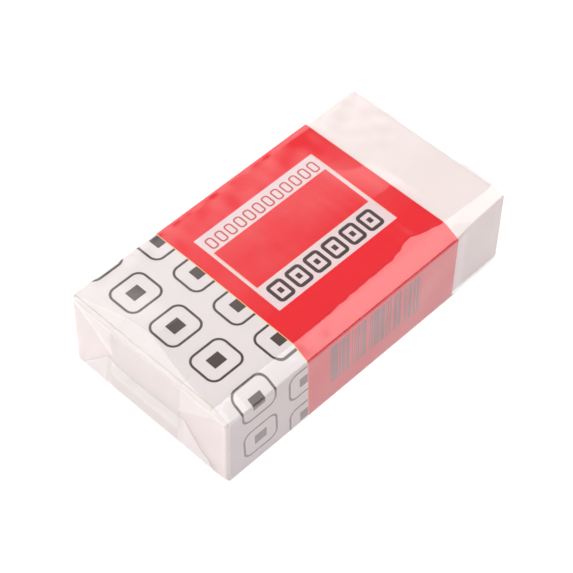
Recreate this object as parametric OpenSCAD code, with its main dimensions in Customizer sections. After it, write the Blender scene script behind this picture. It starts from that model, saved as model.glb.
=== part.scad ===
// Vinyl eraser block in a folded card sleeve, overwrapped in clear film with envelope-folded ends.
// The origin is the middle of the underside. +X runs along the block to its bare end,
// +Y across it and +Z up, in millimetres.

/* [Eraser block] */
// Length of the block
block_l = 59.4; // [45:0.2:80]
// Width of the block
block_w = 31.4; // [24:0.1:45]
// Height of the block
block_h = 14.4; // [11:0.1:22]
// Radius of the four long edges
block_edge_r = 0.5; // [0.5:0.1:2]
// Radius of the edges and corners round each end
block_end_r = 0.4; // [0.3:0.1:2]
// Width of the bevel pressed along the front top edge, measured across the top
bevel_w = 2.8; // [1.5:0.1:5]
// How far the bevel runs down the front
bevel_h = 1.4; // [0.2:0.1:1.5]

/* [Card sleeve] */
// Length of block left bare past the sleeve
bare_l = 10.85; // [4:0.05:20]
// How far the sleeve stops short of the block's other end
sleeve_inset = 0.6; // [0:0.1:3]
// Thickness of the card
card_t = 0.2; // [0.15:0.05:0.3]
// Outside radius of the sleeve's four creases
crease_r = 0.45; // [0.4:0.05:0.5]
// Width of the glue flap inside the underside
glue_flap_w = 9; // [5:0.5:15]
// How far the outer layer's free edge stops short of where the glue flap rises over it
lap_setback = 0.1; // [0:0.1:2]
// Glue line between the two layers of the lap
glue_t = 0.03; // [0.02:0.01:0.06]
// Clearance between the block and the sleeve, on each side
sleeve_clear = 0.03; // [0.02:0.01:0.3]

/* [Film overwrap] */
// Thickness of the film
film_t = 0.03; // [0.02:0.01:0.08]
// Clearance between the film and the sleeve, on each side
film_clear = 0.03; // [0.02:0.01:0.3]
// Clearance between the block's ends and the folded film
film_end_clear = 0.1; // [0.05:0.05:1]
// Overlap of the sealed seam along the underside
film_lap_w = 6; // [3:0.5:12]
// Air between the two layers of the seam
film_seam_gap = 0.02; // [0.01:0.01:0.04]

/* [Folded ends] */
// Air between one folded layer and the next
fold_gap = 0.02; // [0.01:0.01:0.1]
// Depth of the two side tucks, from the side wall inwards
tuck_depth = 9; // [5:0.5:11]
// Drop of the top flap's slanting folds over that depth
top_fold_drop = 5.5; // [3:0.25:5.5]
// Height of the bottom flap, the outermost layer
bottom_flap_h = 8.5; // [5:0.5:9.5]
// Height over which the bottom flap is sealed to the top flap
flap_seal_h = 3; // [1:0.5:4]
// How far the loose bottom crease bows outwards at its middle
crease_bow = 1.2; // [0:0.1:3]
// How far the bowed crease lifts off the ground at its middle
crease_lift = 0.3; // [0.1:0.05:1]
// Length over which the film leaves the bevel and fills out to the square end
bevel_run = 3.5; // [1:0.5:8]

/* [Hidden] */

// Facets of a quarter round, cells of a flap across and down, and cells of each stretch of a
// wrapped strip's underside: the film's crease bows, and the card's is straight
arc_steps = 6;
flap_cells = [12, 4];
film_cells = 8;
card_cells = 1;

// Where an inner layer rises over the outer one's free edge, in steps out from that edge
rise_from = 1.5;
rise_to = 0.5;

// The film's seam lies on the ground, the sleeve on the film and the block in the sleeve.
film_step = film_t + film_seam_gap;
film_floor = film_step + film_t;
sleeve_z0 = film_floor + film_clear;
card_step = card_t + glue_t;
block_z0 = sleeve_z0 + card_step + card_t + sleeve_clear;
block_z1 = block_z0 + block_h;
sleeve_w = block_w + 2 * (sleeve_clear + card_t);
sleeve_z1 = block_z1 + sleeve_clear + card_t;
sleeve_x0 = -block_l / 2 + sleeve_inset;
sleeve_x1 = block_l / 2 - bare_l;

// The film's radius keeps its clearance round the sleeve's creases.
film_r = crease_r + film_clear + film_t;
film_end_x = block_l / 2 + film_end_clear;

// Order of the folded layers, from the block outwards: the tucks, then each flap over its own
// gussets. A gusset bends up to its flap within fold_bend of the fold that they share, and
// starts at this share of the fold, where it is wide enough to bend.
tuck_layer = 0;
top_flap_layer = 2;
bottom_flap_layer = 4;
fold_pitch = film_t + fold_gap;
fold_bend = 3 * film_t;
gusset_start = 0.1;

// The bevel keeps its slope in every layer, and its width on the layer a distance out from the
// block. Both are measured from the corner that the layer would have without it.
bevel_angle = atan(bevel_h / bevel_w);
function bevel_out(out) = bevel_w + out * (1 - tan(bevel_angle / 2));
sleeve_bevel = bevel_out(sleeve_clear + card_t);

// A film section is [width, lowest z, highest z, bevel's width], outside. Round the sleeve it is
// full, and past it the film closes in on the bare block, but its underside stays flat on the
// ground.
full_section = [
    sleeve_w + 2 * (film_clear + film_t), 0, sleeve_z1 + film_clear + film_t,
    bevel_out(sleeve_clear + card_t + film_clear + film_t)
];
bare_section = [
    block_w + 2 * (film_clear + film_t), 0, block_z1 + film_clear + film_t,
    bevel_out(film_clear + film_t)
];

function reverse(list) = [for (i = [len(list) - 1:-1:0]) list[i]];
function mix(a, b, k) = a + (b - a) * k;

// Part of a circle round a centre, turning clockwise from one angle to another, as [y, z] points.
function arc(centre, r, from, to) = [
    for (i = [0:arc_steps])
        let (a = mix(from, to, i / arc_steps))
        centre + r * [cos(a), sin(a)]
];

// Centre of the arc between the front face and the bevel, of a section whose top is at z = high.
function crease_centre(section, high, angle, r) =
    [-section[0] / 2 + r, high - section[3] * tan(angle) - r * tan(45 - angle / 2)];

// One face of a strip that is wrapped once round a section and lapped on the underside.
// It starts at the outer layer's free edge at y = lap[0], runs along the underside, up the -Y
// side, over the bevel and the top, down the +Y side and back along the underside, where it
// rises by step over the free edge and ends on the outer layer, at y = lap[1].
// angle is the bevel's slope: 0 fills out its corner.
// inset moves the face inwards: 0 gives the outside, and the strip's thickness the inside.
function wrap_face(section, angle, r, step, lap, cells, inset) =
    let (
        y = section[0] / 2 - r,
        low = section[1] + r,
        high = section[2] - r,
        ri = r - inset
    )
    concat(
        [for (i = [0:cells - 1]) [mix(lap[0], -y, i / cells), low - ri]],
        arc([-y, low], ri, 270, 180),
        arc(crease_centre(section, section[2], angle, r), ri, 180, 90 + angle),
        [[section[3] - section[0] / 2 + inset * tan(angle / 2), section[2] - inset]],
        arc([y, high], ri, 90, 0),
        arc([y, low], ri, 0, -90),
        [for (i = [1:cells]) [mix(y, lap[0] + rise_from * step, i / cells), low - ri]],
        [for (i = [0:cells]) [mix(lap[0] + rise_to * step, lap[1], i / cells), low + step - ri]]
    );

// A closed thin sheet between two grids of points with the same rows and columns.
module sheet(near, far) {
    rows = len(near);
    cols = len(near[0]);
    far_side = rows * cols;
    points = concat([for (row = near) each row], [for (row = far) each row]);
    function at(i, j) = i * cols + j;
    function cell(a, b, c, d) = [[a, b, c], [a, c, d]];
    polyhedron(points, concat(
        [for (i = [0:rows - 2], j = [0:cols - 2])
            each cell(at(i, j), at(i, j + 1), at(i + 1, j + 1), at(i + 1, j))],
        [for (i = [0:rows - 2], j = [0:cols - 2])
            each cell(far_side + at(i + 1, j), far_side + at(i + 1, j + 1),
                      far_side + at(i, j + 1), far_side + at(i, j))],
        [for (j = [0:cols - 2])
            each cell(far_side + at(0, j), far_side + at(0, j + 1), at(0, j + 1), at(0, j))],
        [for (j = [0:cols - 2])
            each cell(at(rows - 1, j), at(rows - 1, j + 1),
                      far_side + at(rows - 1, j + 1), far_side + at(rows - 1, j))],
        [for (i = [0:rows - 2])
            each cell(at(i, 0), at(i + 1, 0), far_side + at(i + 1, 0), far_side + at(i, 0))],
        [for (i = [0:rows - 2])
            each cell(far_side + at(i, cols - 1), far_side + at(i + 1, cols - 1),
                      at(i + 1, cols - 1), at(i, cols - 1))]
    ));
}

// Rectangle with true round corners, about the origin.
module round_rect(size, r) {
    square([size[0] - 2 * r, size[1]], center = true);
    square([size[0], size[1] - 2 * r], center = true);
    for (x = [-1, 1], y = [-1, 1])
        translate([x * (size[0] / 2 - r), y * (size[1] / 2 - r)])
            circle(r, $fn = 48);
}

// Section of the block across its length, with the bevel at its -Y top edge.
module block_section() {
    y = block_w / 2 - block_edge_r;
    z = block_h / 2 - block_edge_r;
    crease = crease_centre([block_w, 0, 0, bevel_w], block_h / 2, bevel_angle, block_edge_r);
    polygon(concat(
        arc([-y, -z], block_edge_r, 270, 180),
        arc(crease, block_edge_r, 180, 90 + bevel_angle),
        [[bevel_w - block_w / 2, block_h / 2]],
        arc([y, z], block_edge_r, 90, 0),
        arc([y, -z], block_edge_r, 0, -90)
    ));
}

// The block is an extruded bar, trimmed by its rounded plan and side.
module eraser_block() {
    color("#f6ebe8")
        translate([0, 0, block_z0 + block_h / 2])
            intersection() {
                rotate([90, 0, 90])
                    linear_extrude(block_l, center = true)
                        block_section();
                linear_extrude(block_h, center = true)
                    round_rect([block_l, block_w], block_end_r);
                rotate([90, 0, 0])
                    linear_extrude(block_w, center = true)
                        round_rect([block_l, block_h], block_end_r);
            }
}

// The sleeve is one strip of card folded at four creases and lapped under the block, with the
// glue flap inside and the outer layer's free edge just short of the last crease.
function sleeve_face(inset) = wrap_face(
    [sleeve_w, sleeve_z0, sleeve_z1, sleeve_bevel], bevel_angle, crease_r, card_step,
    [sleeve_w / 2 - crease_r - rise_from * card_step - lap_setback, sleeve_w / 2 - glue_flap_w],
    card_cells, inset
);
module card_sleeve() {
    color("#ee3b43")
        translate([sleeve_x0, 0, 0])
            rotate([90, 0, 90])
                linear_extrude(sleeve_x1 - sleeve_x0)
                    polygon(concat(sleeve_face(0), reverse(sleeve_face(card_t))));
}

// A point [y, z] on the film's -X end, set out to a folded layer. The end is flat at its sides
// and its top crease, and bows outwards and upwards to the middle of its bottom crease.
function folded_point(section, layer, y, z, out) =
    let (bow = (1 - pow(2 * y / section[0], 2)) * (section[2] - z) / (section[2] - section[1]))
    [-(film_end_x + layer * fold_pitch + out + crease_bow * bow), y, z + crease_lift * bow];

// A ring of the film's wall, at x or past the last folded layer of an end. The ends are square.
function wall_face(section, angle, inset) = wrap_face(
    section, angle, film_r, film_step, [film_lap_w / 2, -film_lap_w / 2], film_cells, inset
);
function wall_ring(section, angle, x, inset) =
    [for (p = wall_face(section, angle, inset)) [x, p[0], p[1]]];
function end_ring(section, inset) = [
    for (p = wall_face(section, 0, inset))
        folded_point(section, bottom_flap_layer, p[0], p[1], film_t)
];
function wall_grid(inset) = [
    end_ring(full_section, inset),
    wall_ring(full_section, 0, -film_end_x, inset),
    wall_ring(full_section, bevel_angle, bevel_run - film_end_x, inset),
    wall_ring(full_section, bevel_angle, sleeve_x1, inset),
    wall_ring(bare_section, bevel_angle, film_end_x - bevel_run, inset),
    wall_ring(bare_section, 0, film_end_x, inset),
    [for (p = end_ring(bare_section, inset)) [-p[0], p[1], p[2]]]
];

// A folded piece on the -X end: a grid of [y, z, layer], each point set out to its layer.
module folded(section, grid) {
    near = [for (row = grid) [for (p = row) folded_point(section, p[2], p[0], p[1], 0)]];
    far = [for (row = grid) [for (p = row) folded_point(section, p[2], p[0], p[1], film_t)]];
    sheet(near, far);
}

// What a round corner takes off the height, a distance d in from the side.
function corner_drop(r, d) = d >= r ? 0 : r - sqrt(r * r - pow(r - d, 2));

// A side tuck: the side wall pushed in flat, as high as the end and with its corners rounded.
// frame is the middle of the wall's thickness: [width, lowest z, highest z, radius].
function tuck_grid(frame, side) = [
    for (d = concat(
        [for (i = [0:arc_steps - 1]) frame[3] * (1 - cos(90 * i / arc_steps))],
        [for (i = [0:flap_cells[1]]) mix(frame[3], tuck_depth, i / flap_cells[1])]
    ))
        let (cut = corner_drop(frame[3], d))
        [for (j = [0:flap_cells[1]])
            [side * (frame[0] / 2 - d), mix(frame[1] + cut, frame[2] - cut, j / flap_cells[1]), tuck_layer]]
];

// A flap from its crease at root_z to its free edge at tip_z. Its sides are the two slanting
// folds, which run in to the tucks' depth at fold_z and straight on from there.
function flap_grid(frame, root_z, tip_z, fold_z, layer) = [
    for (i = [0:flap_cells[1]])
        let (
            z = mix(root_z, tip_z, i / flap_cells[1]),
            k = min(1, abs(z - root_z) / abs(fold_z - root_z)),
            half = frame[0] / 2 - mix(frame[3], tuck_depth, k)
        )
        [for (j = [0:flap_cells[0]]) [mix(-half, half, j / flap_cells[0]), z, layer]]
];

// A gusset: the film doubled back under a flap, between its slanting fold and its crease, as
// far along the fold as the flap reaches.
function gusset_grid(frame, side, root_z, tip_z, fold_z, layer) = [
    for (i = [0:flap_cells[1]])
        let (
            k_end = min(1, (tip_z - root_z) / (fold_z - root_z)),
            k = mix(gusset_start, k_end, i / flap_cells[1]),
            y = side * (frame[0] / 2 - mix(frame[3], tuck_depth, k)),
            edge_z = mix(root_z, fold_z, k),
            bend_z = edge_z + fold_bend * sign(root_z - fold_z)
        )
        concat(
            [[y, edge_z, layer - film_t / 2 / fold_pitch]],
            [for (j = [0:flap_cells[1]]) [y, mix(bend_z, root_z, j / flap_cells[1]), layer - 1]]
        )
];

// A flap that folds down from the top crease or up from the bottom one, on its two gussets.
module end_flap(section, frame, root_z, tip_z, fold_z, layer) {
    down = root_z > tip_z;
    flap = flap_grid(frame, root_z, tip_z, fold_z, layer);
    folded(section, down ? flap : reverse(flap));
    for (side = [-1, 1]) {
        gusset = gusset_grid(frame, side, root_z, tip_z, fold_z, layer);
        folded(section, (side > 0) == down ? reverse(gusset) : gusset);
    }
}

// The envelope fold on the -X end: side tucks first, then the top flap, then the bottom flap
// sealed over it. The two flaps' slanting folds meet at the same height.
module end_fold(section) {
    frame = [section[0] - film_t, section[1] + film_t / 2, section[2] - film_t / 2, film_r - film_t / 2];
    fold_z = section[2] - top_fold_drop;
    bottom_tip = section[1] + bottom_flap_h;
    folded(section, tuck_grid(frame, -1));
    folded(section, reverse(tuck_grid(frame, 1)));
    end_flap(section, frame, frame[2], bottom_tip - flap_seal_h, fold_z, top_flap_layer);
    end_flap(section, frame, frame[1], bottom_tip, fold_z, bottom_flap_layer);
}

// The overwrap: one sheet of film wound round sleeve and block, sealed along the underside.
module film_overwrap() {
    color([0.86, 0.92, 0.96, 0.35]) {
        sheet(wall_grid(0), wall_grid(film_t));
        end_fold(full_section);
        mirror([1, 0, 0]) end_fold(bare_section);
    }
}

eraser_block();
card_sleeve();
film_overwrap();
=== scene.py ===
# %% [markdown]
# # A boxed eraser: vinyl block, printed card sleeve, clear film
#
# The object is a white vinyl eraser in a folded card sleeve, wrapped in clear film whose ends are
# folded like an envelope. Each piece below starts from how the real one is made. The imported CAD
# model comes first, because it fixes every size: X runs along the block to its bare end, Y across
# it and Z up. Shapes are worked out in millimetres and turned to metres once, in the mesh.

# %% Load the frame
import math

import bmesh
import bpy
import numpy as np
from mathutils import Matrix, Vector


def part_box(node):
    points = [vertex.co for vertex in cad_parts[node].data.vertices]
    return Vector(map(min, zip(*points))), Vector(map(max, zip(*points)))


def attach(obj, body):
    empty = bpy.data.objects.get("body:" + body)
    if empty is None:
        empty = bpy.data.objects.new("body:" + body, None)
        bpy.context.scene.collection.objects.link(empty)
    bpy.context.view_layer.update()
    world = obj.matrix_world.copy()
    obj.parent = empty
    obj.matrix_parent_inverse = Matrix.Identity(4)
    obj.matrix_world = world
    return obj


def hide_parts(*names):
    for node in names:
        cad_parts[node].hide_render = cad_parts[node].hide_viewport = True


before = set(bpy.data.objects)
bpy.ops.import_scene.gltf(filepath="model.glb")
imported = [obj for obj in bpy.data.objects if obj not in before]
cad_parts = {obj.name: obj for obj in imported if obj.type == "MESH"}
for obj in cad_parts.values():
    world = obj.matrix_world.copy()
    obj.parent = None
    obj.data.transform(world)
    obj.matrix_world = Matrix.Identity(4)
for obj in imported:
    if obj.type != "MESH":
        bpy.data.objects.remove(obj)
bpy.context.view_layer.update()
MM = 0.001


def node_box(name):
    """Lowest and highest corner of a CAD node, in millimetres."""
    low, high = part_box(name)
    return np.array(low) / MM, np.array(high) / MM


block_low, block_high = node_box("eraser_block")
card_low, card_high = node_box("card_sleeve")
film_low, film_high = node_box("film_overwrap")
print("block", block_low.round(2), block_high.round(2))
print("sleeve", card_low.round(2), card_high.round(2))
print("film", film_low.round(2), film_high.round(2))

# %% [markdown]
# ## Helpers
#
# Every new piece is a surface over a grid of two parameters, held in numpy arrays. One function
# turns such a grid into a mesh, and can join several grids, because a folded wrapper is one piece
# of film that covers itself in layers.

# %% Grids to meshes
def grid_faces(rows, cols, first, around):
    """Quads between neighbours of a rows x cols grid, which face along (row step) x (column step).
    around joins the last column to the first."""
    i, j = np.meshgrid(np.arange(rows - 1), np.arange(cols if around else cols - 1), indexing="ij")
    k = (j + 1) % cols
    corners = [i * cols + j, (i + 1) * cols + j, (i + 1) * cols + k, i * cols + k]
    return first + np.stack(corners, -1).reshape(-1, 4)


def make_piece(name, grids, materials, attributes=None, sharp=40, weld=0.0):
    """Mesh of several grids of points in mm: each is (points, around, inside_out, material).
    Points closer than weld become one, which closes seams and poles."""
    points, faces, slots, first = [], [], [], 0
    for grid, around, inside_out, slot in grids:
        quads = grid_faces(grid.shape[0], grid.shape[1], first, around)
        faces.append(quads[:, ::-1] if inside_out else quads)
        slots.append(np.full(len(quads), slot))
        points.append(grid.reshape(-1, 3))
        first += grid.shape[0] * grid.shape[1]
    points, faces = np.concatenate(points) * MM, np.concatenate(faces)
    mesh = bpy.data.meshes.new(name)
    mesh.vertices.add(len(points))
    mesh.vertices.foreach_set("co", points.ravel())
    mesh.loops.add(faces.size)
    mesh.loops.foreach_set("vertex_index", faces.ravel())
    mesh.polygons.add(len(faces))
    mesh.polygons.foreach_set("loop_start", np.arange(len(faces)) * 4)
    mesh.polygons.foreach_set("material_index", np.concatenate(slots))
    mesh.update(calc_edges=True)
    for key, values in (attributes or {}).items():
        layer = mesh.attributes.new(key, "FLOAT_VECTOR", "POINT")
        layer.data.foreach_set("vector", values.ravel())
    if weld:
        work = bmesh.new()
        work.from_mesh(mesh)
        bmesh.ops.remove_doubles(work, verts=work.verts, dist=weld * MM)
        work.to_mesh(mesh)
        work.free()
    mesh.validate()
    mesh.polygons.foreach_set("use_smooth", np.ones(len(mesh.polygons), bool))
    mesh.set_sharp_from_angle(angle=math.radians(sharp))
    piece = bpy.data.objects.new(name, mesh)
    bpy.context.scene.collection.objects.link(piece)
    for material in materials:
        mesh.materials.append(material)
    print(name, "has", len(mesh.vertices), "points and", len(mesh.polygons), "faces")
    return piece


# %% [markdown]
# The block and the film are drawn as outlines across the object that change along it. So the two
# helpers for such outlines take a whole column of points, one for each place along X, and give a
# grid back. Loose film is never quite flat: a few sine waves of random length and direction, from
# a fixed seed, give it slack that looks unplanned and comes out the same each time.

# %% Steps, lines, corners and waves
def smooth(low, high, value):
    """0 below low, 1 above high, and an S-shaped rise between: 3t^2 - 2t^3."""
    t = np.clip((value - low) / (high - low), 0, 1)
    return t * t * (3 - 2 * t)


def stretch(start, end, count):
    """Points [y, z] on straight lines between columns of points, without the last."""
    t = np.linspace(0, 1, count + 1)[None, :-1, None]
    return start[:, None] * (1 - t) + end[:, None] * t


def corner(centre, radius, start, end, count=8):
    """Points [y, z] on arcs round a column of centres. The angles are in degrees."""
    turn = np.radians(start[:, None] + (end - start)[:, None] * np.linspace(0, 1, count + 1)[None])
    return centre[:, None] + radius * np.stack([np.cos(turn), np.sin(turn)], -1)


def waves(seed, count, u, v, shortest, longest):
    """Sum of sine waves with random directions, lengths and phases, scaled to about -1..1."""
    rng = np.random.default_rng(seed)
    total = np.zeros(np.broadcast(u, v).shape)
    for _ in range(count):
        turn, length = rng.uniform(0, 2 * np.pi), rng.uniform(shortest, longest)
        phase = rng.uniform(0, 2 * np.pi)
        total += np.sin((u * np.cos(turn) + v * np.sin(turn)) * 2 * np.pi / length + phase)
    return total / np.sqrt(count)


# %% [markdown]
# Materials are node trees. A colour is written as the hex value that it should show, and one
# function turns it into the linear light that the shader counts in. Another adds a node with its
# settings and its links, so that a tree reads as a list of steps.

# %% Colours and nodes
def linear(code):
    """Linear RGBA of an sRGB hex colour: c / 12.92 in the darks, ((c + 0.055) / 1.055)^2.4 above."""
    srgb = np.array([int(code[i:i + 2], 16) for i in (1, 3, 5)]) / 255
    light = np.where(srgb <= 0.04045, srgb / 12.92, ((srgb + 0.055) / 1.055) ** 2.4)
    return (*light.tolist(), 1.0)


def add(tree, kind, inputs=None, **settings):
    """Adds a node of this kind, sets it, and links or fills its inputs by name or number."""
    node = tree.nodes.new(kind)
    for key, value in settings.items():
        setattr(node, key, value)
    for key, value in (inputs or {}).items():
        if isinstance(value, bpy.types.NodeSocket):
            tree.links.new(value, node.inputs[key])
        else:
            node.inputs[key].default_value = value
    return node


def new_material(name):
    """An empty node material and its tree."""
    material = bpy.data.materials.new(name)
    material.use_nodes = True
    material.node_tree.nodes.clear()
    return material, material.node_tree


def finish_material(material, shader):
    """Links the last shader to a new output node, and prints how long the recipe is."""
    add(material.node_tree, "ShaderNodeOutputMaterial", {"Surface": shader.outputs[0]})
    print(material.name, "has", len(material.node_tree.nodes), "nodes")


# %% [markdown]
# ## Camera
#
# A long lens from above and to one side, as for a catalogue picture: it looks down at about 51
# degrees along the block's diagonal. The lens is long enough that the far edges hardly converge.

# %% Camera
camera_data = bpy.data.cameras.new("catalogue_camera")
camera_data.sensor_width = 36
camera_data.lens = 125.2
camera = bpy.data.objects.new("catalogue_camera", camera_data)
bpy.context.scene.collection.objects.link(camera)
bpy.context.scene.camera = camera
camera_place = np.array([-140.17, -129.81, 237.88])
looking = np.array([0.46359, 0.43346, -0.77279])
across = np.array([0.69693, -0.71696, 0.01593])
upright = np.cross(across, looking)
turned = np.stack([across, upright, -looking], 1)
camera.matrix_world = Matrix.Translation(Vector(camera_place * MM)) @ Matrix(turned.tolist()).to_4x4()
print("camera looks down at", round(math.degrees(math.asin(-looking[2])), 1), "degrees")

# %% [markdown]
# ## Floor
#
# The block stands on a white sweep, a floor that curves up into a wall all round, as in a light
# tent. The paper itself is pale grey to light, so it throws only a plain amount of light back. A
# glow then lifts it to white for the camera, also through the film, and to a lighter grey for what
# mirrors it. The floor lies a hair below the object, because two surfaces in one place would
# flicker.

# %% Sweep
FLAT_RADIUS, BEND = 900, 700
FLOOR_GAP = 0.02


def make_sweep():
    """Ring radius grows along a flat floor, then along a quarter of a circle that rises."""
    t = np.linspace(0, 1, 60)[:, None]
    turn = np.linspace(0, 2 * np.pi, 97)[:-1][None, :]
    flat = np.clip(t / 0.5, 0, 1)
    rise = np.clip((t - 0.5) / 0.5, 0, 1) * np.pi / 2
    radius = FLAT_RADIUS * flat + BEND * np.sin(rise) + 0 * turn
    height = BEND * (1 - np.cos(rise)) - FLOOR_GAP + 0 * turn
    return np.stack([radius * np.cos(turn), radius * np.sin(turn), height], -1)


# Matt paper: a plain diffuse grey that the eye reads as white, because the glow lifts it.
SEEN_GLOW, MIRRORED_GLOW = 0.9, 0.76
sweep_material, tree = new_material("matt_paper_sweep")
path = add(tree, "ShaderNodeLightPath")
mirrored = path.outputs["Is Glossy Ray"]
seen = add(tree, "ShaderNodeMath", {
    0: path.outputs["Is Camera Ray"], 1: path.outputs["Is Transmission Ray"]}, operation="MAXIMUM")
seen = add(tree, "ShaderNodeMath", {0: seen.outputs[0], 1: SEEN_GLOW}, operation="MULTIPLY")
gloss = add(tree, "ShaderNodeMath", {0: mirrored, 1: MIRRORED_GLOW}, operation="MULTIPLY")
lift = add(tree, "ShaderNodeMath", {0: seen.outputs[0], 1: gloss.outputs[0]}, operation="MAXIMUM")
paper = add(tree, "ShaderNodeBsdfDiffuse", {"Color": linear("#c0bcbd")})
tint = add(tree, "ShaderNodeMix", {0: mirrored, 6: (1, 1, 1, 1), 7: linear("#fff3f5")}, data_type="RGBA")
glow = add(tree, "ShaderNodeEmission", {"Color": tint.outputs[2], "Strength": lift.outputs[0]})
both = add(tree, "ShaderNodeAddShader", {0: paper.outputs[0], 1: glow.outputs[0]})
finish_material(sweep_material, both)
sweep = make_piece("paper_sweep", [(make_sweep(), True, False, 0)], [sweep_material], weld=0.01)

# %% [markdown]
# ## Light
#
# The film is a mirror, so each lamp is placed by the face that mirrors it. The large front box
# lights the card, and ends short of the patch of ceiling that the film's flat top mirrors. The box
# beside it shows in the strip along the bevel, with a hot spot for the strip's brighter middle. The
# one at the back shows in the tilted facet at the folded end, and the fifth stands beyond that end
# and lights its face.

# %% Lamps
def soft_box(name, centre, aim, size, brightness):
    """A rectangular lamp at centre that faces aim. Its power is brightness x pi x its area."""
    data = bpy.data.lights.new(name, "AREA")
    data.shape = "RECTANGLE"
    data.size, data.size_y = size[0] * MM, size[1] * MM
    data.energy = brightness * math.pi * data.size * data.size_y
    lamp = bpy.data.objects.new(name, data)
    bpy.context.scene.collection.objects.link(lamp)
    facing = (Vector(aim) - Vector(centre)).normalized()
    lamp.rotation_euler = facing.to_track_quat("-Z", "Y").to_euler()
    lamp.location = Vector(centre) * MM
    print(name, "gives", round(data.energy, 2), "W")
    return lamp


def ceiling_box(name, x_range, y_range, brightness, height=1000):
    """A level soft box that covers these ranges of X and Y, in mm at its height."""
    centre = (sum(x_range) / 2, sum(y_range) / 2, height)
    size = (x_range[1] - x_range[0], y_range[1] - y_range[0])
    lamp = soft_box(name, centre, (centre[0], centre[1], 0), size, brightness)
    lamp.rotation_euler = (0, 0, 0)


ceiling_box("front_soft_box", (-100, 1400), (-330, 330), 2.38)
ceiling_box("strip_box", (-100, 1400), (-640, -330), 1.8)
ceiling_box("strip_hot_spot", (540, 725), (-640, -330), 1.2, height=999)
ceiling_box("back_soft_box", (-1000, 400), (340, 1000), 1.2)
soft_box("side_soft_box", (-900, -150, 450), (0, 0, 0), (900, 700), 2.7)

# %% [markdown]
# The room itself is dim straight up and brighter low down, so the sides of the film still mirror
# something. Towards +Y it rises to a bright wall. The film's flat top mirrors the border of that
# wall, which gives the top a soft sheen at the back and keeps its front clear.

# %% Room
# Brightness straight up, low down and on the wall, then where each changes: the first two by the
# height of the line of sight, and the wall by its slope, Y over Z.
DIM, LOW_DOWN, WALL = 0.05, 0.6, 1.25
HORIZON, WALL_EDGE = (0.30, 0.46), (0.555, 0.70)
world = bpy.data.worlds.new("dim_room")
bpy.context.scene.world = world
world.use_nodes = True
tree = world.node_tree
facing = add(tree, "ShaderNodeTexCoord")
ray = add(tree, "ShaderNodeSeparateXYZ", {0: facing.outputs["Generated"]})
low = add(tree, "ShaderNodeMapRange", {
    0: ray.outputs["Z"], 1: HORIZON[0], 2: HORIZON[1], 3: LOW_DOWN, 4: DIM},
    interpolation_type="SMOOTHSTEP")
upward = add(tree, "ShaderNodeMath", {0: ray.outputs["Z"], 1: 0.1}, operation="MAXIMUM")
slope = add(tree, "ShaderNodeMath", {0: ray.outputs["Y"], 1: upward.outputs[0]}, operation="DIVIDE")
wall = add(tree, "ShaderNodeMapRange", {
    0: slope.outputs[0], 1: WALL_EDGE[0], 2: WALL_EDGE[1], 3: 0.0, 4: WALL})
strength = add(tree, "ShaderNodeMath", {0: low.outputs[0], 1: wall.outputs[0]}, operation="MAXIMUM")
tree.links.new(strength.outputs[0], tree.nodes["Background"].inputs["Strength"])
tree.nodes["Background"].inputs["Color"].default_value = (1, 1, 1, 1)
bpy.context.scene.view_settings.view_transform = "Standard"
print(world.name, "has", len(tree.nodes), "nodes")

# %% [markdown]
# ## The vinyl block
#
# A soft eraser is plasticised vinyl with chalk in it, pressed as a slab and cut. The chalk makes
# it dull and milky: light goes a millimetre in and comes out again, so its edges look soft, and
# its faces are slightly pebbled. A noise of about 8 mm clouds the white, and one of under half a
# millimetre gives the pebbles. Both are worked out from Object coordinates, in millimetres.

# %% Vinyl
vinyl, tree = new_material("chalk_filled_vinyl")
place = add(tree, "ShaderNodeTexCoord")
mm = add(tree, "ShaderNodeVectorMath", {
    0: place.outputs["Object"], 1: (1000, 1000, 1000)}, operation="MULTIPLY")
cloud = add(tree, "ShaderNodeTexNoise", {"Vector": mm.outputs[0], "Scale": 0.12, "Detail": 3.0})
pebble = add(tree, "ShaderNodeTexNoise", {
    "Vector": mm.outputs[0], "Scale": 2.2, "Detail": 4.0, "Roughness": 0.6})
tone = add(tree, "ShaderNodeMix", {
    0: cloud.outputs[0], 6: linear("#f3e4e0"), 7: linear("#f6eae7")}, data_type="RGBA")
rough = add(tree, "ShaderNodeMapRange", {0: pebble.outputs[0], 3: 0.48, 4: 0.62})
bump = add(tree, "ShaderNodeBump", {"Height": pebble.outputs[0], "Strength": 0.25, "Distance": 0.00006})
shade = add(tree, "ShaderNodeBsdfPrincipled", {
    "Base Color": tone.outputs[2], "Roughness": rough.outputs[0], "IOR": 1.5,
    "Subsurface Weight": 0.25, "Subsurface Radius": (1.0, 0.8, 0.7), "Subsurface Scale": 0.0012,
    "Normal": bump.outputs[0]})
finish_material(vinyl, shade)

# %% [markdown]
# The tight sleeve has pressed a bevel along the block's front top edge. Past the sleeve nothing
# presses, so there the bevel runs out and the block stands a little fuller. The shape is a row of
# outlines along X, set in at both ends to round them off. A pair of points close inside the ends
# of each straight run keeps the shading of the flat faces flat, as a bevel's support loops do.

# %% Block outline
BEVEL_W, BEVEL_DROP = 2.8, 1.4
NARROWER, SHALLOWER, FULLER = 0.15, 0.8, 0.2
EDGE_R, END_R = 0.5, 0.4
SUPPORT = 0.12


def bevel_size(x):
    """Width and drop: full under the sleeve, then a straight run to the bare end's smaller ones."""
    bare = np.clip((x - card_high[0]) / (block_high[0] - card_high[0]), 0, 1)
    return BEVEL_W * (1 - NARROWER * bare), BEVEL_DROP * (1 - SHALLOWER * bare)


def supported(start, end):
    """The places just inside both ends of straight runs: SUPPORT over the length is their share."""
    share = SUPPORT / np.linalg.norm(end - start, axis=1)[:, None, None]
    share = np.concatenate([share, 1 - share], 1)
    return start[:, None] * (1 - share) + end[:, None] * share


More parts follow.
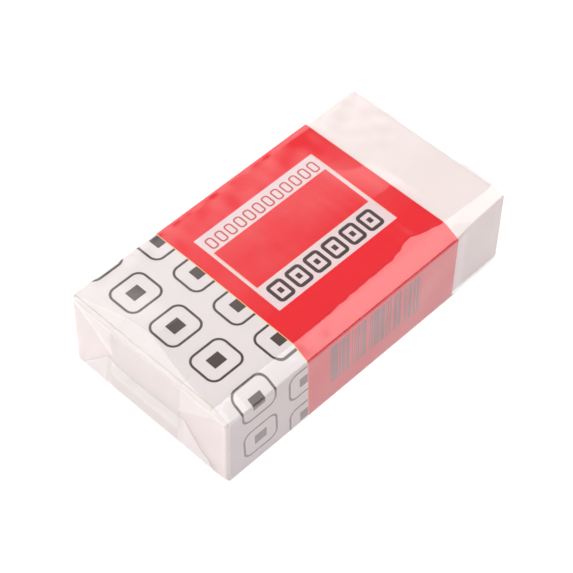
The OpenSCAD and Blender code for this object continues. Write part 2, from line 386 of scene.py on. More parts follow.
def block_rings(x, inset):
    """The block's outline at each x, set in by inset: each corner keeps its centre and loses
    radius, and the bevel's back edge moves by inset x tan(slope / 2)."""
    half, low = block_high[1], block_low[2]
    top = block_high[2] + FULLER * smooth(card_high[0], card_high[0] + 2, x)
    one, r = np.ones_like(x), (EDGE_R - inset)[:, None, None]
    width, drop = bevel_size(x)
    slope = np.arctan2(drop, width)

    def at(y, z):
        """A column of points [y, z], one for each x."""
        return np.stack([y * one, z * one], 1)

    crease = at(EDGE_R - half, top - drop - EDGE_R * np.tan(np.pi / 4 - slope / 2))
    first = corner(at(EDGE_R - half, low + EDGE_R), r, 270 * one, 180 * one)
    front = corner(crease, r, 180 * one, 90 + np.degrees(slope))
    knee = at(width - half + inset * np.tan(slope / 2), top - inset)[:, None]
    back = corner(at(half - EDGE_R, top - EDGE_R), r, 90 * one, 0 * one)
    under = corner(at(half - EDGE_R, low + EDGE_R), r, 0 * one, -90 * one)
    parts = [first, front, knee, back, under]
    runs = [supported(a[:, -1], b[:, 0]) for a, b in zip(parts, parts[1:] + parts[:1])]
    outline = np.concatenate([part for pair in zip(parts, runs) for part in pair], 1)
    return np.concatenate([np.broadcast_to(x[:, None, None], (*outline.shape[:2], 1)), outline], 2)


# %% Block
turn = np.linspace(0, np.pi / 2, 7)
end_x, end_inset = block_high[0] - END_R * (1 - np.cos(turn)), END_R * (1 - np.sin(turn))
between = np.linspace(-end_x[-1], end_x[-1], 26)[1:-1]
rings = block_rings(
    np.concatenate([-end_x, between, end_x[::-1]]),
    np.concatenate([end_inset, 0 * between, end_inset[::-1]]))
middle = [0, (block_low[2] + block_high[2]) / 2]
poles = [np.broadcast_to([side * block_high[0], *middle], rings[:1].shape) for side in (-1, 1)]
block_grid = np.concatenate([poles[0], rings, poles[1]])
block = make_piece("vinyl_block", [(block_grid, True, False, 0)], [vinyl], sharp=50, weld=0.002)
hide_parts("eraser_block")
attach(block, "root")

# %% [markdown]
# ## The printed card sleeve
#
# The sleeve is one strip of coated card, printed flat, creased and glued under the block. So the
# print is laid out on the flat strip: one coordinate runs along the block, the other round the
# girth, both in millimetres. Each point of the folded card keeps its place on the flat strip as an
# attribute, and the print bends round the creases with it.

# %% Folded profile
CARD_T, CARD_GAP, CARD_R = 0.2, 0.03, 0.45
GLUE_FLAP = 9.0
ARC_POINTS = 9
BEVEL = math.atan(BEVEL_DROP / BEVEL_W)


def arc(centre, radius, start, end):
    """Points [y, z] on a circle round centre, between two angles in degrees."""
    turn = np.radians(np.linspace(start, end, ARC_POINTS))
    return np.stack([centre[0] + radius * np.cos(turn), centre[1] + radius * np.sin(turn)], 1)


def straight(start, end, count):
    """This many points on a straight line, without its two ends."""
    t = np.linspace(0, 1, count + 2)[1:-1, None]
    return np.array(start) * (1 - t) + np.array(end) * t


half, low, top = card_high[1], card_low[2], card_high[2]
bevel_y = BEVEL_W + (CARD_T + CARD_GAP) * (1 - math.tan(BEVEL / 2)) - half


def card_profile(inset):
    """The strip's face from its outer free edge, round the block, to the end of the glue flap:
    arcs at the creases, and the bevel's back edge moved by inset x tan(angle / 2)."""
    r = CARD_R - inset
    y, lo, hi, step = half - CARD_R, low + CARD_R, top - CARD_R, CARD_T + CARD_GAP
    free = y - 1.5 * step - 0.1
    front_edge = top - (bevel_y + half) * math.tan(BEVEL)
    crease = (-y, front_edge - CARD_R * math.tan(math.pi / 4 - BEVEL / 2))
    return np.concatenate([
        [[free, lo - r]],
        arc((-y, lo), r, 270, 180),
        arc(crease, r, 180, 90 + math.degrees(BEVEL)),
        [[bevel_y + inset * math.tan(BEVEL / 2), top - inset]],
        straight((bevel_y, top - inset), (y, top - inset), 12),
        arc((y, hi), r, 90, 0),
        arc((y, lo), r, 0, -90),
        [[free + 1.5 * step, lo - r]],
        [[free + 0.5 * step, lo + step - r]],
        [[y + CARD_R - GLUE_FLAP, lo + step - r]]])


outside, inside = card_profile(0), card_profile(CARD_T)
length = np.concatenate([[0], np.cumsum(np.hypot(*np.diff(outside, axis=0).T))])
print("card strip is", round(length[-1], 1), "mm round; bevel starts at", round(bevel_y, 2))

# %% [markdown]
# A real sleeve's print never meets its creases exactly, so the print has a girth coordinate of its
# own. On the top it is the girth plus a small shift. The front crease falls at a place of its own,
# and from there the front side counts down a hundredth faster than the card. The strip was also
# folded a little askew: the print slides along the block by up to half a millimetre on its way
# round the front.

# %% Place of the print
PRINT_SHIFT, PRINT_CREASE, PRINT_STRETCH = 0.13, -15.9, 1.01
ASKEW = 0.0225
at_crease, at_bevel = length[1 + ARC_POINTS], length[1 + 2 * ARC_POINTS]
girth = length - at_bevel + bevel_y + PRINT_SHIFT
known_girth = [PRINT_CREASE - PRINT_STRETCH * at_crease, PRINT_CREASE, girth[1 + 2 * ARC_POINTS]]
girth = np.where(length < at_bevel, np.interp(length, [0, at_crease, at_bevel], known_girth), girth)
askew = ASKEW * np.clip(8 - girth, 0, 24) * np.clip(1 + (girth - PRINT_CREASE) / 1.5, 0, 1)
print("print runs from", round(girth[0], 1), "to", round(girth[-1], 1), "mm; askew by", askew.max().round(2))

# %% Sleeve surfaces
# Numbers of the printed and the bare card in the sleeve's list of materials.
PRINTED, BARE = 0, 1


def sweep_profile(profile, x):
    """The profile repeated at each x: rows along the block, columns round it."""
    grid = np.empty((len(x), len(profile), 3))
    grid[..., 0], grid[..., 1:] = x[:, None], profile[None]
    return grid


def on_blank(grid, columns):
    """Place on the flat strip: x and its slide, girth, 0."""
    flat = np.zeros_like(grid)
    flat[..., 0], flat[..., 1] = grid[..., 0] + np.interp(columns, girth, askew), columns
    return flat.reshape(-1, 3)


card_x = np.linspace(card_low[0], card_high[0], 40)
outer, inner = sweep_profile(outside, card_x), sweep_profile(inside, card_x)
card_grids = [
    (outer, False, False, PRINTED),
    (inner, False, True, BARE),
    (np.stack([outer[0], inner[0]]), False, True, BARE),
    (np.stack([outer[-1], inner[-1]]), False, False, BARE),
    (np.stack([outer[:, 0], inner[:, 0]]), False, False, BARE),
    (np.stack([outer[:, -1], inner[:, -1]]), False, True, BARE),
]
card_columns = [girth, girth, girth, girth, girth[0], girth[-1]]
blank = np.concatenate([on_blank(grid, c) for (grid, *_), c in zip(card_grids, card_columns)])
print("sleeve has", len(card_grids), "faces: outside, inside and four cut edges")

# %% [markdown]
# The print is drawn with distances. The distance to a rounded box is the length of
# max(|p - centre| - (half - radius), 0), less the radius, so it is below zero inside. Inside one
# distance and outside another is a line, and a position wrapped to a pitch repeats a shape. A
# rounded square with a dot is a common geometric pattern. Where such sleeves carry words, this one
# carries rows of the same plain shape, and the bars on the side stand for nothing.

# %% Print shapes
INK_SPREAD = 0.06


def box_distance(tree, spot, centre, half, radius):
    """Distance in mm to a rounded box: length(max(|p - centre| - (half - radius), 0)) - radius."""
    reach = (half[0] - radius, half[1] - radius, 1000)
    away = add(tree, "ShaderNodeVectorMath", {0: spot, 1: (*centre, 0)}, operation="SUBTRACT")
    away = add(tree, "ShaderNodeVectorMath", {0: away.outputs[0]}, operation="ABSOLUTE")
    away = add(tree, "ShaderNodeVectorMath", {0: away.outputs[0], 1: reach}, operation="SUBTRACT")
    away = add(tree, "ShaderNodeVectorMath", {0: away.outputs[0], 1: (0, 0, 0)}, operation="MAXIMUM")
    away = add(tree, "ShaderNodeVectorMath", {0: away.outputs[0]}, operation="LENGTH")
    return add(tree, "ShaderNodeMath", {0: away.outputs[1], 1: radius}, operation="SUBTRACT").outputs[0]


def printed(tree, distance, edge):
    """1 where the distance is below edge and 0 above it, over the width that ink spreads."""
    limits = {1: edge - INK_SPREAD / 2, 2: edge + INK_SPREAD / 2, 3: 1.0, 4: 0.0}
    return add(tree, "ShaderNodeMapRange", {0: distance, **limits}).outputs[0]


def filled(tree, spot, centre, half, radius):
    """1 inside a rounded box and 0 outside."""
    return printed(tree, box_distance(tree, spot, centre, half, radius), 0)


def outline(tree, distance, stroke):
    """A line of this width just inside the shape: inside the shape, less inside by the stroke."""
    pair = {0: printed(tree, distance, 0), 1: printed(tree, distance, -stroke)}
    return add(tree, "ShaderNodeMath", pair, operation="SUBTRACT").outputs[0]


def repeat(tree, spot, centre, pitch, shift=0.0):
    """Wraps a position to a cell of this pitch. Each next column lies lower by shift."""
    away = add(tree, "ShaderNodeVectorMath", {0: spot, 1: (*centre, 0)}, operation="SUBTRACT")
    along, round_it, _ = add(tree, "ShaderNodeSeparateXYZ", {0: away.outputs[0]}).outputs
    x = add(tree, "ShaderNodeMath", {0: along, 1: pitch[0] / 2, 2: -pitch[0] / 2}, operation="WRAP")
    column = add(tree, "ShaderNodeMath", {0: along, 1: x.outputs[0]}, operation="SUBTRACT")
    fall = add(tree, "ShaderNodeMath", {
        0: column.outputs[0], 1: shift / pitch[0], 2: round_it}, operation="MULTIPLY_ADD")
    y = add(tree, "ShaderNodeMath", {
        0: fall.outputs[0], 1: pitch[1] / 2, 2: -pitch[1] / 2}, operation="WRAP")
    return add(tree, "ShaderNodeCombineXYZ", {0: x.outputs[0], 1: y.outputs[0]}).outputs[0]


def over(tree, below, code, mask):
    """Prints a colour over what is below, where the mask is 1."""
    return add(tree, "ShaderNodeMix", {0: mask, 6: below, 7: linear(code)}, data_type="RGBA").outputs[2]


def both_of(tree, a, b):
    """1 where both masks are."""
    return add(tree, "ShaderNodeMath", {0: a, 1: b}, operation="MULTIPLY").outputs[0]


# %% [markdown]
# The sleeve is coated board, offset printed. The coating gives even colour and a soft sheen, and
# the fibres under it leave a faint tone and orange peel, a little over half a millimetre across.
# Inks are laid on in order, each over the last: brown, then yellow and red, then the label. Places
# are (x, girth) on the flat strip, and sizes are half widths, as for box_distance.

# %% Board and pattern
BROWN, RED, DARK = "#544644", "#ef1c2a", "#4a3837"
SHARP_R = 0.08
printed_card, tree = new_material("offset_printed_coated_card")
flat = add(tree, "ShaderNodeAttribute", attribute_name="blank")
spot = flat.outputs["Vector"]
fibre = add(tree, "ShaderNodeTexNoise", {"Vector": spot, "Scale": 1.6, "Detail": 5.0, "Roughness": 0.7})
sheet_tone = add(tree, "ShaderNodeMix", {
    0: fibre.outputs[0], 6: linear("#e9dfdf"), 7: linear("#eee5e5")}, data_type="RGBA")
colour = sheet_tone.outputs[2]

# Rounded squares with a dot, in columns that step down. The squares stop short of the sleeve's end.
cell = repeat(tree, spot, (-22.75, 1.33), (9.25, 8.44), 3.6)
square = box_distance(tree, cell, (0, 0), (3.44, 3.02), 1.65)
off_the_end = filled(tree, spot, (10, 0), (37.5, 200), 0.1)
ring = both_of(tree, outline(tree, square, 0.40), off_the_end)
colour = over(tree, colour, BROWN, ring)
colour = over(tree, colour, BROWN, filled(tree, cell, (0, 0), (1.19, 1.02), SHARP_R))

# The red band is printed a touch out of register, which leaves a thin yellow line at its edge.
colour = over(tree, colour, "#fbd58a", filled(tree, spot, (46.93, 0), (60, 200), 0.1))
colour = over(tree, colour, RED, filled(tree, spot, (47.05, 0), (60, 200), 0.1))

# %% Label
# A pale frame round a red window, which leaves a deep bar and a thin bar. Frame and window each have
# a warm edge on one side, because their inks miss each other by about a tenth of a millimetre.
FRAME_AT, FRAME = (2.31, 1.815), (12.48, 9.015)
WINDOW_AT, WINDOW = (2.315, 2.585), (11.855, 4.585)
colour = over(tree, colour, "#f9b98e", filled(tree, spot, (FRAME_AT[0] + 0.13, FRAME_AT[1]), FRAME, SHARP_R))
colour = over(tree, colour, "#f0dadc", filled(tree, spot, FRAME_AT, FRAME, SHARP_R))
colour = over(tree, colour, "#f6b48a", filled(tree, spot, (2.21, 2.585), (11.90, 4.62), SHARP_R))
colour = over(tree, colour, RED, filled(tree, spot, WINDOW_AT, WINDOW, SHARP_R))

# Six bold marks in the deep bar.
BOLD_AT, BOLD_PITCH = (2.15, -4.65), 3.80
bold_row = repeat(tree, spot, (BOLD_AT[0] + BOLD_PITCH / 2, BOLD_AT[1]), (BOLD_PITCH, 40.0))
bold_area = filled(tree, spot, BOLD_AT, (3 * BOLD_PITCH, 3.0), 0.1)
bold = box_distance(tree, bold_row, (0, 0), (1.58, 1.92), 0.80)
bold_dot = filled(tree, bold_row, (0, 0), (0.42, 0.50), SHARP_R)
colour = over(tree, colour, DARK, both_of(tree, outline(tree, bold, 0.62), bold_area))
colour = over(tree, colour, DARK, both_of(tree, bold_dot, bold_area))

# Twelve thin ones in the thin bar.
THIN_AT, THIN_PITCH = (2.35, 8.75), 1.96
thin_row = repeat(tree, spot, (THIN_AT[0] + THIN_PITCH / 2, THIN_AT[1]), (THIN_PITCH, 40.0))
thin_area = filled(tree, spot, THIN_AT, (6 * THIN_PITCH, 1.6), 0.1)
thin = box_distance(tree, thin_row, (0, 0), (0.72, 1.14), 0.55)
colour = over(tree, colour, "#cf4a42", both_of(tree, outline(tree, thin, 0.28), thin_area))

# %% Bars and varnish
# Bars on the front, of random widths in steps of 0.18 mm, about the finest that small packs print.
# The noise depends only on the step's number, so the bars come out the same each time.
BAR_STEP, GAP_SHARE = 0.18, 0.3
along = add(tree, "ShaderNodeSeparateXYZ", {0: spot}).outputs[0]
step = add(tree, "ShaderNodeMath", {0: along, 1: 1 / BAR_STEP}, operation="MULTIPLY")
step = add(tree, "ShaderNodeMath", {0: step.outputs[0]}, operation="FLOOR")
chance = add(tree, "ShaderNodeTexWhiteNoise", {"W": step.outputs[0]}, noise_dimensions="1D")
bar = add(tree, "ShaderNodeMath", {0: chance.outputs[0], 1: GAP_SHARE}, operation="GREATER_THAN").outputs[0]
bar_area = filled(tree, spot, (1.5, -20.9), (9.8, 4.3), 0.05)
colour = over(tree, colour, "#98484c", both_of(tree, bar, bar_area))

peel = add(tree, "ShaderNodeBump", {"Height": fibre.outputs[0], "Strength": 0.12, "Distance": 0.00005})
shade = add(tree, "ShaderNodeBsdfPrincipled", {
    "Base Color": colour, "Roughness": 0.5, "IOR": 1.5, "Specular IOR Level": 0.2,
    "Normal": peel.outputs[0]})
finish_material(printed_card, shade)

# %% Bare card
# The back and the cut edges show the unprinted board, grey-white and matt.
bare_card, tree = new_material("unprinted_card_back")
flat = add(tree, "ShaderNodeAttribute", attribute_name="blank")
fibre = add(tree, "ShaderNodeTexNoise", {"Vector": flat.outputs["Vector"], "Scale": 3.0, "Detail": 5.0})
tone = add(tree, "ShaderNodeMix", {
    0: fibre.outputs[0], 6: linear("#ded7d0"), 7: linear("#f0eae4")}, data_type="RGBA")
shade = add(tree, "ShaderNodeBsdfPrincipled", {"Base Color": tone.outputs[2], "Roughness": 0.85})
finish_material(bare_card, shade)

# %% Sleeve piece
sleeve_materials = [printed_card, bare_card]
sleeve = make_piece("printed_sleeve", card_grids, sleeve_materials, {"blank": blank}, sharp=50, weld=0.001)
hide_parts("card_sleeve")
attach(sleeve, "root")

# %% [markdown]
# ## The clear film
#
# An overwrapping machine winds one sheet of polypropylene film round the sleeved block and seals it
# along the underside. It then pushes the film's two sides in at each end, and folds the top and the
# bottom over them like an envelope. The film is far thinner than anything else here, so it is one
# surface with no thickness. It is a little loose. It lies along the bevel and rises in a narrow
# strip from the bevel's edge to a crest, and at the folded end it stands off as a facet that drops
# to the crease.

# %% Film sizes
BOW, LIFT = 1.2, 0.3
FOLD_X = film_high[0] - BOW
FILM_R = 0.5
LAP, STEP = 3.0, 0.05
STRIP_SLOPE = math.tan(math.radians(6))
FACET_SLOPE = math.tan(math.radians(6.7))
CLOSES_IN = 0.24
print("the ends' creases lie at", round(FOLD_X, 2), "and bow out to", round(film_high[0], 2))


def crease(value, radius):
    """0 below zero and value above it, rounded over the radius: r ln(1 + e^(v / r))."""
    return radius * np.logaddexp(0, value / radius)


def bell(value, width):
    """A bump of height 1 and about this half width: e^-(v / w)^2."""
    return np.exp(-(value / width) ** 2)


def tent(value, start, peak, end):
    """0 outside start..end, and two straight slopes that meet at 1 over peak."""
    return np.clip(np.minimum((value - start) / (peak - start), (end - value) / (end - peak)), 0, 1)


# %% Relief of the top
RIDGE_X, RIDGE_Y = -26.7, 1.7
FACET_RISE = 0.3


def facet_ridge(y):
    """x of the ridge where the facet starts. It is nearest the middle at RIDGE_Y, and runs back to
    the end crease at both corners: by a square towards +Y, and by a power of 3/4 towards -Y."""
    back = 3.15 * (np.clip(y - RIDGE_Y, 0, None) / 13.5) ** 2
    front = 3.4 * (np.clip(RIDGE_Y - y, 0, None) / 17) ** 0.75
    return RIDGE_X - np.where(y > RIDGE_Y, back, front)


def facet(x, y):
    """The film stands off along the ridge, less so where the ridge nears the end crease. It comes
    back to its level over 6 mm inwards and drops by FACET_SLOPE outwards."""
    ridge = facet_ridge(y)
    share = np.clip((ridge + FOLD_X) / 3.3, 0, 1)
    return FACET_RISE * share * (1 - smooth(0, 6, x - ridge)) - FACET_SLOPE * crease(ridge - x, 0.12)


def sleeve_end_lift(x, y):
    """Just before the film steps off the sleeve's end it lifts in a tent across the top, which ends
    at a valley that is a square in x, and rises gently behind it."""
    valley = 3.4 + 0.14 * np.clip(19 - x, 0, None) ** 2
    lift = 0.20 * tent(y, -12, -2.5, valley) + 0.0016 * np.clip(y - valley - 0.6, 0, None) ** 2
    return lift * smooth(11, 17, x) * (1 - smooth(18.6, 21, x))


def top_relief(x, y):
    """Height of the film above its level, over the top face: the facet, a broad swell over the
    label, the lift at the sleeve's end, ripples along the back edge, slack everywhere, and more
    of it over the bare end."""
    swell = 0.065 * bell(x - 8, 7) * bell(y - 1, 6)
    back_edge = 0.028 * waves(5, 6, x, 0.35 * y, 2.2, 5.0) * smooth(9, 14.5, y)
    slack = 0.006 * waves(7, 9, x, y, 5, 14)
    bare = 0.006 * waves(11, 7, x, y, 2.5, 6) * smooth(20, 23, x) * smooth(1, 8, y)
    return facet(x, y) + swell + sleeve_end_lift(x, y) + back_edge + slack + bare


# %% Lines along the film
def half_width(x):
    """Half the film's width. It closes in on the bare block past the sleeve."""
    return film_high[1] - CLOSES_IN * smooth(card_high[0], card_high[0] + 2.5, x)


def knee_line(x):
    """y of the knee, where the film leaves the bevel. It nears the front towards both ends."""
    folded_end = 0.3 * smooth(0, 5, 5 - FOLD_X - x)
    return bevel_y - BEVEL_W + bevel_size(x)[0] - BEVEL_W * folded_end


def crest_line(x):
    """y of the crest behind the knee, where the strip meets the top: S-shaped drifts, a bump 6 mm
    short of the sleeve's end and fine rumples, but never in front of the knee."""
    rumple = 1.15 * bell(x - 12.3, 2.6) + 0.08 * waves(3, 4, x, 0 * x, 1.6, 4)
    crest = -13.05 + 0.55 * smooth(-13, 4, x) - 0.7 * smooth(16, 21, x) + rumple
    return np.maximum(crest, knee_line(x) + 0.05)


def bevel_fall(x):
    """How far the film drops per millimetre in front of the knee."""
    width, drop = bevel_size(x)
    return drop / width


def top_height(x, y):
    """Height of the top over its level: the relief, a rise from knee to crest that dies away over
    9 mm behind it, and the bevel's fall in front of the knee."""
    knee, crest = knee_line(x), crest_line(x)
    relief = top_relief(x, y) * smooth(0, 0.7, y - crest) * smooth(0, 0.7, half_width(x) - FILM_R - y)
    to_crest = np.clip((y - knee) / (crest - knee), 0, 1)
    share = np.where(y < crest, to_crest, np.exp((crest - y).clip(-90, 0) / 9))
    return relief + (crest - knee) * STRIP_SLOPE * share - np.clip(knee - y, 0, None) * bevel_fall(x)


def bow(y, z):
    """How far the loose end stands out: 0 along the sides and top, 1 at mid bottom crease."""
    return (1 - (y / film_high[1]) ** 2) * np.clip(1 - z / film_high[2], 0, 1)


def stand_off(seed, x, wall, free):
    """Swelling of a side wall between its creases, up to about 0.13 mm: 4v(1 - v) times waves."""
    v = np.linspace(0, 1, wall.shape[1])[None]
    return 0.05 * (1 + waves(seed, 8, x, wall[..., 1], 7, 22)).clip(0) * 4 * v * (1 - v) * free


# %% Film wall
def film_wall(x):
    """The film round the block: from the seam's outer layer, up the front and round to the inner.
    Straight runs and arcs join in order, then the slack and the bowed ends are added."""
    level, half, knee, crest = film_high[2], half_width(x), knee_line(x), crest_line(x)
    drop, rise = (knee + half) * bevel_fall(x), (crest - knee) * STRIP_SLOPE
    slope = np.arctan2(drop, knee + half)
    one = np.ones_like(x)

    def at(y, z):
        """A column of points [y, z], one for each x."""
        return np.stack([y * one, z * one], 1)

    front_edge = at(-half + FILM_R, level - drop - FILM_R * np.tan(np.pi / 4 - slope / 2))
    low = corner(at(-half + FILM_R, FILM_R), FILM_R, 270 * one, 180 * one)
    front = corner(front_edge, FILM_R, 180 * one, 90 + np.degrees(slope))
    back = corner(at(half - FILM_R, level - FILM_R), FILM_R, 90 * one, 0 * one)
    under = corner(at(half - FILM_R, FILM_R), FILM_R, 0 * one, -90 * one)
    first = stretch(at(LAP, 0), low[:, 0], 20)
    side = stretch(low[:, -1], front[:, 0], 30)[:, 1:]
    bevel = stretch(front[:, -1], at(knee, level), 20)[:, 1:]
    strip = stretch(at(knee, level), at(crest, level + rise), 8)
    top = stretch(at(crest, level), back[:, 0], 90)
    rear = stretch(back[:, -1], under[:, 0], 24)[:, 1:]
    last = stretch(under[:, -1], at(LAP + 1.5 * STEP, 0), 16)[:, 1:]
    lap = stretch(at(LAP + 0.5 * STEP, STEP), at(-LAP - 1, STEP), 8)

    x = x[:, None]
    free = smooth(0, 3.5, FOLD_X - np.abs(x))
    v = np.linspace(0, 1, bevel.shape[1])[None]
    top[..., 1] += top_height(x, top[..., 0])
    bevel[..., 1] += 0.010 * waves(13, 7, x, 6 * v, 3, 9) * 4 * v * (1 - v) * free
    side[..., 0] -= stand_off(17, x, side, free)
    rear[..., 0] += stand_off(19, x, rear, free)

    profile = np.concatenate([first, low, side, front, bevel, strip, top, back, rear, under, last, lap], 1)
    y, z = profile[..., 0], profile[..., 1]
    out = bow(y, z) * (1 - smooth(0, 7, FOLD_X - np.abs(x)))
    return np.stack([x + np.sign(x) * BOW * out, y, z + LIFT * out], -1)


wall = film_wall(np.linspace(-FOLD_X, FOLD_X, 180))
print("wall of the film has", wall.shape[0], "outlines of", wall.shape[1], "points")

# %% [markdown]
# Each end has five layers. From the block outwards they are the two side tucks, the top flap on its
# gussets, and the bottom flap on its gussets. A flap's slanting sides are folds, and a gusset is
# the film doubled back under a flap between that fold and the crease.

# %% Folded ends
# In mm: the space from layer to layer, the tucks' depth and where a flap's sides start, how far down
# the top flap's slanting folds run and how far up the bottom one's, and both free edges' heights.
LAYER, OUTER = 0.03, 4
TUCK, EDGE = 9.0, 0.5
TOP_SLANT = 5.5
BOTTOM_SLANT = film_high[2] - TOP_SLANT
TOP_TIP, BOTTOM_TIP = 5.5, 8.5
RUMPLE = 0.102


def folded(y, z, layer, side):
    """A grid of places on an end, set out to their layers, bowed with the end and rumpled. Near
    the top it follows the edge of the wall."""
    height = film_high[2]
    z = z + top_height(side * FOLD_X + 0 * y, y) * smooth(height - 4, height - 0.2, z)
    loose = bow(y, z)
    inside = smooth(0, 3, z) * smooth(0, 3, height - z) * smooth(0, 3, film_high[1] - np.abs(y))
    rumple = RUMPLE * waves(23, 7, 2.2 * y + 1.2 * z, 0.5 * z, 4, 12) * inside
    out = FOLD_X - LAYER * (OUTER - layer) + BOW * loose + rumple
    grid = np.stack([side * out, y + 0 * z, z + LIFT * loose], -1)
    facing = np.cross(grid[1, 0] - grid[0, 0], grid[0, 1] - grid[0, 0])
    return grid, False, bool(facing[0] * side < 0), 0


def tuck(side, hand, half, level):
    """A side wall pushed in flat, as high as the end: rows go in from the wall, round its edge."""
    depth = np.concatenate([np.linspace(0, 1, 9)[:-1], np.linspace(1, TUCK, 16)])[:, None]
    round_off = FILM_R - np.sqrt(np.clip(FILM_R ** 2 - np.clip(FILM_R - depth, 0, None) ** 2, 0, None))
    z = round_off + (level - 2 * round_off) * np.linspace(0, 1, 25)[None]
    layer = OUTER * (1 - smooth(0, 0.8, depth)) + 0 * z
    return folded(hand * (half - depth + 0 * z), z, layer, side)


def flap_half(half, share):
    """Half a flap's width at this share of its slanting folds' depth."""
    return half - EDGE - (TUCK - EDGE) * share


def flap(side, half, root, tip, layer):
    """A flap from its crease to its free edge. Its sides run in along the slanting folds."""
    slant = TOP_SLANT if tip < root else BOTTOM_SLANT
    share = np.concatenate([np.linspace(0, 0.12, 7)[:-1], np.linspace(0.12, 1, 18)])[:, None]
    depth = abs(tip - root) * share
    y = flap_half(half, np.clip(depth / slant, 0, 1)) * np.linspace(-1, 1, 41)[None]
    z = root + np.sign(tip - root) * depth + 0 * y
    return folded(y, z, OUTER - (OUTER - layer) * smooth(0, 0.7, depth) + 0 * y, side)


def gusset(side, hand, half, root, tip, layer):
    """The doubled film under a flap, from its slanting fold to its crease, as far as the flap goes."""
    slant = TOP_SLANT if tip < root else BOTTOM_SLANT
    reach = min(1, abs(tip - root) / slant) * np.linspace(0.06, 1, 16)[:, None]
    depth = slant * reach * np.linspace(1, 0, 16)[None]
    y = hand * flap_half(half, reach) + 0 * depth
    return folded(y, root + np.sign(tip - root) * depth, (layer - 1) + 0 * depth, side)


def end_fold(side, half, level):
    """All five layers of one end."""
    return [
        tuck(side, -1, half, level), tuck(side, 1, half, level),
        gusset(side, -1, half, level, TOP_TIP, 2), gusset(side, 1, half, level, TOP_TIP, 2),
        flap(side, half, level, TOP_TIP, 2),
        gusset(side, -1, half, 0.0, BOTTOM_TIP, 4), gusset(side, 1, half, 0.0, BOTTOM_TIP, 4),
        flap(side, half, 0.0, BOTTOM_TIP, 4)]


film_grids = [(wall, False, False, 0)]
film_grids += end_fold(-1, film_high[1], film_high[2])
film_grids += end_fold(1, film_high[1] - CLOSES_IN, film_high[2])
print("film is made of", len(film_grids), "grids: the wall and eight to each end")

# %% [markdown]
# Clear film shows by what it mirrors. Its two faces each mirror R of the light by Fresnel's law,
# and with the light that goes back and forth between them a sheet mirrors 2R / (1 + R). The rest
# goes through, apart from the few per cent that haze and dust scatter. Handling decides where that
# is: the folded end is worn and dusty, most of all in the middle, where no tuck backs its flaps. The
# top is scuffed towards the back, and the haze of those scuffs is also a painted sheen: lighter
# patches that stand for uneven reflection. A wedge is rubbed milky at the foot of the bare end,
# beside the sleeve.

# %% Mirror of a sheet
# Polypropylene that is cast and then stretched comes out smooth as glass, so what it mirrors stays
# sharp. Faces seen from behind take the inverse index, so that both sides mirror the same share.
FILM_IOR = 1.5
clear_film, tree = new_material("clear_polypropylene_film")
geometry = add(tree, "ShaderNodeNewGeometry")
outer_face = add(tree, "ShaderNodeFresnel", {"IOR": FILM_IOR})
inner_face = add(tree, "ShaderNodeFresnel", {"IOR": 1 / FILM_IOR})
either = add(tree, "ShaderNodeMix", {
    0: geometry.outputs["Backfacing"], 2: outer_face.outputs[0], 3: inner_face.outputs[0]})
double = add(tree, "ShaderNodeMath", {0: either.outputs[0], 1: 2.0}, operation="MULTIPLY")
plus = add(tree, "ShaderNodeMath", {0: either.outputs[0], 1: 1.0}, operation="ADD")
mirrored = add(tree, "ShaderNodeMath", {0: double.outputs[0], 1: plus.outputs[0]}, operation="DIVIDE")

# %% Haze
# Shares of the light that are scattered: over the label, at the folded end, at the far end, in the
# scuffs, which also paint a patchy sheen, and in the rubbed wedge. Along the middle, which is as
# wide as the gap between the tucks, the first two are CRUMPLED times as large.
CLEAR, WORN, FAR_END, SCUFF_AND_SHEEN, RUBBED = 0.006, 0.10, 0.03, 0.036, 0.7
CRUMPLED = 2.6
place = add(tree, "ShaderNodeTexCoord")
mm = add(tree, "ShaderNodeVectorMath", {
    0: place.outputs["Object"], 1: (1000, 1000, 1000)}, operation="MULTIPLY")
x, y, z = add(tree, "ShaderNodeSeparateXYZ", {0: mm.outputs[0]}).outputs
worn = add(tree, "ShaderNodeMapRange", {0: x, 1: -27.5, 2: -30.0, 3: CLEAR, 4: WORN})
from_middle = add(tree, "ShaderNodeMath", {0: y}, operation="ABSOLUTE")
crumpled = add(tree, "ShaderNodeMapRange", {0: from_middle.outputs[0], 1: 6.9, 2: 7.1, 3: CRUMPLED, 4: 1.0})
worn = add(tree, "ShaderNodeMath", {0: worn.outputs[0], 1: crumpled.outputs[0]}, operation="MULTIPLY")
far_end = add(tree, "ShaderNodeMapRange", {0: x, 1: 28.5, 2: 30.0, 3: 0.0, 4: FAR_END})
haze = add(tree, "ShaderNodeMath", {0: worn.outputs[0], 1: far_end.outputs[0]}, operation="ADD")
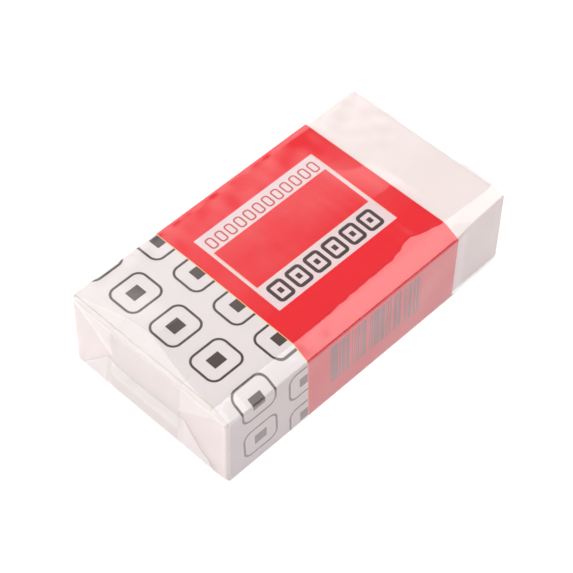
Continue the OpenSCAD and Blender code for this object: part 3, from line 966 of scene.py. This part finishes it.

# Scuffs and painted sheen: lighter patches about 8 mm across, from the middle to the back, that
# stand for real scuffs and for patchy reflection in the film.
grain = add(tree, "ShaderNodeTexNoise", {
    "Vector": mm.outputs[0], "Scale": 0.13, "Detail": 3.0, "Roughness": 0.6})
scuffs_and_painted_sheen = add(tree, "ShaderNodeMapRange", {0: grain.outputs[0], 1: 0.36, 2: 0.66, 3: 0.0, 4: SCUFF_AND_SHEEN})
at_back = add(tree, "ShaderNodeMapRange", {0: y, 1: -7.0, 2: 1.0, 3: 0.0, 4: 1.0})
scuffs_and_painted_sheen = add(tree, "ShaderNodeMath", {0: scuffs_and_painted_sheen.outputs[0], 1: at_back.outputs[0]}, operation="MULTIPLY")
haze = add(tree, "ShaderNodeMath", {0: haze.outputs[0], 1: scuffs_and_painted_sheen.outputs[0]}, operation="ADD")

# The underside is left clear, so that the seam's lap doesn't show through the bowed end.
standing = add(tree, "ShaderNodeMapRange", {0: z, 1: 0.34, 2: 0.46, 3: 0.0, 4: 1.0})
haze = add(tree, "ShaderNodeMath", {0: haze.outputs[0], 1: standing.outputs[0]}, operation="MULTIPLY")

# The wedge starts at the sleeve's end, stays under 0.9 mm and narrows along the bare end.
bare = add(tree, "ShaderNodeMapRange", {0: x, 1: 18.7, 2: 19.2, 3: 0.0, 4: RUBBED})
low = add(tree, "ShaderNodeMapRange", {0: z, 1: 0.9, 2: 0.6, 3: 0.0, 4: 1.0})
rubbed = add(tree, "ShaderNodeMath", {0: bare.outputs[0], 1: low.outputs[0]}, operation="MULTIPLY")
wedge = add(tree, "ShaderNodeMath", {0: x, 1: -0.052, 2: z}, operation="MULTIPLY_ADD")
wedge = add(tree, "ShaderNodeMapRange", {0: wedge.outputs[0], 1: -1.05, 2: -0.95, 3: 0.0, 4: 1.0})
rubbed = add(tree, "ShaderNodeMath", {0: rubbed.outputs[0], 1: wedge.outputs[0]}, operation="MULTIPLY")
haze = add(tree, "ShaderNodeMath", {0: haze.outputs[0], 1: rubbed.outputs[0]}, operation="MAXIMUM")

# %% Film piece
through = add(tree, "ShaderNodeBsdfTransparent", {"Color": (1, 1, 1, 1)})
dust = add(tree, "ShaderNodeBsdfDiffuse", {"Color": linear("#f5f9f5")})
body = add(tree, "ShaderNodeMixShader", {0: haze.outputs[0], 1: through.outputs[0], 2: dust.outputs[0]})
gloss = add(tree, "ShaderNodeBsdfPrincipled", {
    "Base Color": (1, 1, 1, 1), "Metallic": 1.0, "Roughness": 0.06})
whole = add(tree, "ShaderNodeMixShader", {0: mirrored.outputs[0], 1: body.outputs[0], 2: gloss.outputs[0]})
finish_material(clear_film, whole)

film = make_piece("film_wrap", film_grids, [clear_film], sharp=60)
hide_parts("film_overwrap")
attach(film, "root")
